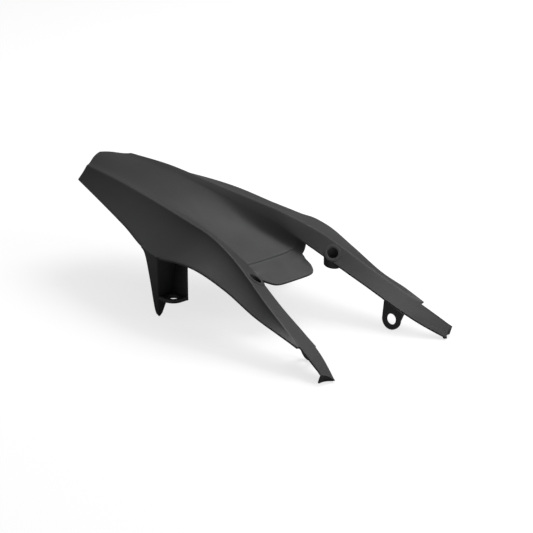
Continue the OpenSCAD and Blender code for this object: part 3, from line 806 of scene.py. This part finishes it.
def edge_wear_and_highlight_group():
    """Edge wear and painted highlight: the edge attribute broken up by noise pales the edges, partly as wear
    and partly as a painted highlight along creases and rims, and a few fine rubs across the open faces.
    """
    group, i, o = node_group("Edge wear and painted highlight", {
        "INPUT": [("Vector", "NodeSocketVector"), ("Edge", "NodeSocketFloat"),
                  ("Amount", "NodeSocketFloat", 0.5)],
        "OUTPUT": [("Wear and highlight", "NodeSocketFloat"), ("Rub", "NodeSocketFloat")]})
    vector = i.outputs["Vector"]
    chips = noise(group, vector, 210.0, 5.0, 0.7)
    # paler edges, partly wear and partly a painted highlight, broken up by chips of noise
    broken_wear_and_highlight = times(group, i.outputs["Edge"], ramp(group, chips, 0.35, 0.62, 0.25, 1.0))
    group.links.new(times(group, broken_wear_and_highlight, i.outputs["Amount"], True), o.inputs["Wear and highlight"])
    stretched = put(group, "ShaderNodeMapping", {"Vector": vector, "Rotation": (0.3, 0.1, 0.5),
                                                 "Scale": (1.0, 14.0, 14.0)}).outputs[0]
    lines = noise(group, stretched, 34.0, 2.0)
    patch = noise(group, vector, 19.0, 1.0)
    rub = times(group, ramp(group, lines, 0.66, 0.74), ramp(group, patch, 0.55, 0.7))
    group.links.new(rub, o.inputs["Rub"])
    return group


def plastic(settings):
    """Satin black plastic: dark base with flow marks, paler edges that are partly wear and partly a painted
    highlight, grain in roughness and bump.
    """
    material = bpy.data.materials.new("Satin black plastic")
    material.use_nodes = True
    tree = material.node_tree
    tree.nodes.clear()
    place = put(tree, "ShaderNodeTexCoord").outputs["Object"]
    edge = put(tree, "ShaderNodeAttribute", attribute_name="edge").outputs["Fac"]
    grain = put(tree, "ShaderNodeGroup", node_tree=grain_group())
    flow = put(tree, "ShaderNodeGroup", node_tree=flow_group())
    wear_and_highlight = put(tree, "ShaderNodeGroup", node_tree=edge_wear_and_highlight_group())
    for group in (grain, flow, wear_and_highlight):
        tree.links.new(place, group.inputs["Vector"])
    grain.inputs["Size"].default_value = settings.grain_size / MM
    tree.links.new(edge, wear_and_highlight.inputs["Edge"])
    wear_and_highlight.inputs["Amount"].default_value = settings.wear_and_highlight
    base = np.array(settings.color[:3])
    dark, pale, paler_wear_and_highlight_tone = [tuple(base * f) + (1.0,) for f in (0.86, 1.12, 2.3)]
    color = blend(tree, flow.outputs["Cloud"], dark, pale)
    flecked = blend(tree, times(tree, grain.outputs["Fleck"], 0.18), color, paler_wear_and_highlight_tone)
    # edges painted paler, partly as wear and partly as a painted highlight, plus a little rubbing across the
    # faces
    wear_and_highlight_paling = plus(tree, wear_and_highlight.outputs["Wear and highlight"], times(tree, wear_and_highlight.outputs["Rub"], 0.15), True)
    rubbed_and_highlighted = blend(tree, wear_and_highlight_paling, flecked, paler_wear_and_highlight_tone)
    rough = plus(tree, settings.roughness - 0.04, times(tree, flow.outputs["Flow"], 0.07))
    rough = plus(tree, rough, times(tree, grain.outputs["Fleck"], 0.05))
    rough = math_node(tree, "SUBTRACT", rough, times(tree, wear_and_highlight.outputs["Wear and highlight"], 0.12), True)
    bump = put(tree, "ShaderNodeBump", {"Height": grain.outputs["Height"], "Strength": 0.35,
                                        "Distance": settings.grain_depth})
    shader = put(tree, "ShaderNodeBsdfPrincipled", {"Base Color": rubbed_and_highlighted, "Roughness": rough,
                                                   "Normal": bump.outputs["Normal"], "IOR": 1.49})
    put(tree, "ShaderNodeOutputMaterial", {"Surface": shader.outputs[0]})
    return material


class FenderProps(bpy.types.PropertyGroup):
    """Sizes and finish of the moulding"""
    rows: IntProperty(name="Rows", description="Mesh rows per row of the section lattice",
                      default=3, min=1, max=6)
    columns: IntProperty(name="Columns", description="Mesh columns per column of the section lattice",
                         default=3, min=1, max=6)
    crease: FloatProperty(name="Crease rounding",
                          description="Length of the rounding on either side of a ridge",
                          default=2.4 * MM, min=0.5 * MM, max=5 * MM, unit="LENGTH", precision=4)
    rim: FloatProperty(name="Rim rounding", description="Radius on the free edges of the wall",
                       default=0.8 * MM, min=0.1 * MM, max=1.3 * MM, unit="LENGTH", precision=4)
    edge: FloatProperty(name="Rib rounding", description="Radius on the edges of tabs, webs and shelves",
                        default=0.6 * MM, min=0.1 * MM, max=1.3 * MM, unit="LENGTH", precision=4)
    color: FloatVectorProperty(name="Colour", description="Colour of the plastic", subtype="COLOR", size=4,
                               default=(0.020, 0.0202, 0.0206, 1.0), min=0, max=1)
    roughness: FloatProperty(name="Roughness", description="Mean roughness of the satin surface",
                             default=0.52, min=0, max=1, subtype="FACTOR")
    grain_size: FloatProperty(name="Grain size", description="Width of a cell of the moulded grain",
                              default=1.1 * MM, min=0.2 * MM, max=5 * MM, unit="LENGTH", precision=4)
    grain_depth: FloatProperty(name="Grain depth", description="Depth of the moulded grain",
                               default=0.25 * MM, min=0, max=1 * MM, unit="LENGTH", precision=5)
    # how far the edges are painted paler, partly as wear and partly as a painted highlight
    wear_and_highlight: FloatProperty(name="Edge wear and painted highlight", description="How far the edges have paled",
                        default=0.35, min=0, max=1, subtype="FACTOR")
    both_sides: BoolProperty(name="Both sides", description="Bosses, tabs and legs on both sides",
                             default=True)


class StudioProps(bpy.types.PropertyGroup):
    """Camera and light"""
    azimuth: FloatProperty(name="Azimuth", description="Camera's angle round the fender",
                           default=math.radians(46.5), subtype="ANGLE")
    elevation: FloatProperty(name="Elevation", description="Camera's angle above the floor",
                             default=math.radians(20.2), subtype="ANGLE")
    distance: FloatProperty(name="Distance", description="Camera to the point it looks at",
                            default=3.27027, unit="LENGTH")
    target: FloatVectorProperty(name="Target", description="Point that the camera looks at",
                                default=(0.05605, 0, 0.067), subtype="XYZ", unit="LENGTH")
    lens: FloatProperty(name="Lens", description="Focal length in millimetres on a 36 mm sensor",
                        default=163.45)
    key: FloatProperty(name="Key light", description="Power of the large light above and behind",
                       default=25.0, unit="POWER")
    fill: FloatProperty(name="Fill light", description="Power of the light on the right",
                        default=17.0, unit="POWER")
    sky: FloatProperty(name="Surroundings", description="Strength of the even light all round",
                       default=0.27)


class FENDER_OT_moulding(bpy.types.Operator):
    """Build the one moulded piece: shell, arms, tongue, bosses, tabs and legs"""
    bl_idname = "fender.moulding"
    bl_label = "Build moulding"

    def execute(self, context):
        settings = context.scene.fender
        shell = shell_arrays(settings.rows, settings.columns, settings.crease / MM, settings.rim / MM)
        piece = new_object("fender_moulding", *shell)
        added, cutters = [], []
        edge = settings.edge / MM
        for side in ((1, -1) if settings.both_sides else (1,)):
            x, y, top, _, _ = boss_place(side)
            rod = rod_arrays(x, y, BOSS_BOTTOM - 4, top + 14, BOSS_D / 2 - 1.6)
            cutters.append(new_object("boss_clearance", *rod))
            added.append(new_object("boss", *boss_arrays(side)))
            added.append(new_object("tab", *tab_arrays(side, edge)))
            added += [new_object("leg", *part) for part in leg_arrays(side, edge)]
        merge(piece, added, cutters)
        mesh = piece.data
        mesh.set_sharp_from_angle(angle=math.radians(38))
        mesh.polygons.foreach_set("use_smooth", [True] * len(mesh.polygons))
        edge_marks(mesh)
        mesh.materials.clear()
        mesh.materials.append(plastic(settings))
        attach(piece, "root")
        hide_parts("rear_fender")
        return {"FINISHED"}


def area_light(name, place, target, size, power):
    """Square soft light that looks at the target."""
    data = bpy.data.lights.new(name, "AREA")
    data.shape, data.size, data.energy = "SQUARE", size, power
    lamp = bpy.data.objects.new(name, data)
    lamp.location = place
    lamp.rotation_euler = (Vector(target) - Vector(place)).to_track_quat("-Z", "Y").to_euler()
    bpy.context.scene.collection.objects.link(lamp)


class FENDER_OT_studio(bpy.types.Operator):
    """Set up the floor, the soft lights and the camera"""
    bl_idname = "fender.studio"
    bl_label = "Set up studio"

    def execute(self, context):
        scene, s = context.scene, context.scene.fender_studio
        a, e = s.azimuth, s.elevation
        back = Vector((math.sin(a) * math.cos(e), -math.cos(a) * math.cos(e), math.sin(e)))
        target = Vector(s.target)
        data = bpy.data.cameras.new("camera")
        data.sensor_width, data.lens, data.clip_end = 36, s.lens, 50
        camera = bpy.data.objects.new("camera", data)
        camera.location = target + back * s.distance
        camera.rotation_euler = back.to_track_quat("Z", "Y").to_euler()
        scene.collection.objects.link(camera)
        scene.camera = camera
        for name, place, power in (("key", (-0.1, 1.25, 1.9), s.key), ("fill", (2.3, 0.8, 1.6), s.fill)):
            area_light(name, place, LAMP_TARGET, LAMP_SIZE, power)
        square = ((-1, -1), (1, -1), (1, 1), (-1, 1))
        corners = [(x * FLOOR_HALF, y * FLOOR_HALF, -FLOOR_DROP) for x, y in square]
        floor = new_object("floor", corners, [(0, 1, 2, 3)])
        floor.data.materials.append(floor_material())
        world = bpy.data.worlds.new("studio")
        scene.world = world
        world.use_nodes = True
        tree = world.node_tree
        tree.nodes.clear()
        path = put(tree, "ShaderNodeLightPath")
        seen = math_node(tree, "MAXIMUM", path.outputs["Is Camera Ray"], path.outputs["Is Transmission Ray"])
        strength = put(tree, "ShaderNodeMapRange", {"Value": seen, "To Min": s.sky, "To Max": 1.0}).outputs[0]
        sky = put(tree, "ShaderNodeBackground", {"Color": (1, 1, 1, 1), "Strength": strength})
        put(tree, "ShaderNodeOutputWorld", {"Surface": sky.outputs[0]})
        scene.view_settings.view_transform = "Standard"
        return {"FINISHED"}


def floor_material():
    """Pale floor that keeps the shadow, lifted to white where the camera sees it, and clear from below."""
    material = bpy.data.materials.new("Pale floor")
    material.use_nodes = True
    tree = material.node_tree
    tree.nodes.clear()
    path = put(tree, "ShaderNodeLightPath")
    lift = math_node(tree, "MULTIPLY", path.outputs["Is Camera Ray"], 0.72)
    diffuse = put(tree, "ShaderNodeBsdfDiffuse", {"Color": (0.45, 0.45, 0.45, 1)})
    glow = put(tree, "ShaderNodeEmission", {"Color": (1, 1, 1, 1), "Strength": lift})
    both = put(tree, "ShaderNodeAddShader")
    tree.links.new(diffuse.outputs[0], both.inputs[0])
    tree.links.new(glow.outputs[0], both.inputs[1])
    clear = put(tree, "ShaderNodeBsdfTransparent")
    back = put(tree, "ShaderNodeNewGeometry").outputs["Backfacing"]
    mix = put(tree, "ShaderNodeMixShader")
    tree.links.new(back, mix.inputs[0])
    tree.links.new(both.outputs[0], mix.inputs[1])
    tree.links.new(clear.outputs[0], mix.inputs[2])
    put(tree, "ShaderNodeOutputMaterial", {"Surface": mix.outputs[0]})
    return material


class FENDER_PT_panel(bpy.types.Panel):
    """Fender tools"""
    bl_label = "Rear fender"
    bl_idname = "FENDER_PT_panel"
    bl_space_type = "VIEW_3D"
    bl_region_type = "UI"
    bl_category = "Fender"

    def draw(self, context):
        scene = context.scene
        for owner, operator in ((scene.fender, "fender.moulding"), (scene.fender_studio, "fender.studio")):
            box = self.layout.box()
            for name in owner.__annotations__:
                box.prop(owner, name)
            box.operator(operator)


CLASSES = (FenderProps, StudioProps, FENDER_OT_moulding, FENDER_OT_studio, FENDER_PT_panel)


def register():
    """Adds the properties, operators and panel."""
    for cls in CLASSES:
        bpy.utils.register_class(cls)
    bpy.types.Scene.fender = PointerProperty(type=FenderProps)
    bpy.types.Scene.fender_studio = PointerProperty(type=StudioProps)


def unregister():
    """Takes them out again."""
    del bpy.types.Scene.fender
    del bpy.types.Scene.fender_studio
    for cls in reversed(CLASSES):
        bpy.utils.unregister_class(cls)


def main():
    """Registers the tools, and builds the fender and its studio."""
    register()
    bpy.ops.fender.moulding()
    bpy.ops.fender.studio()


if __name__ == "__main__":
    main()
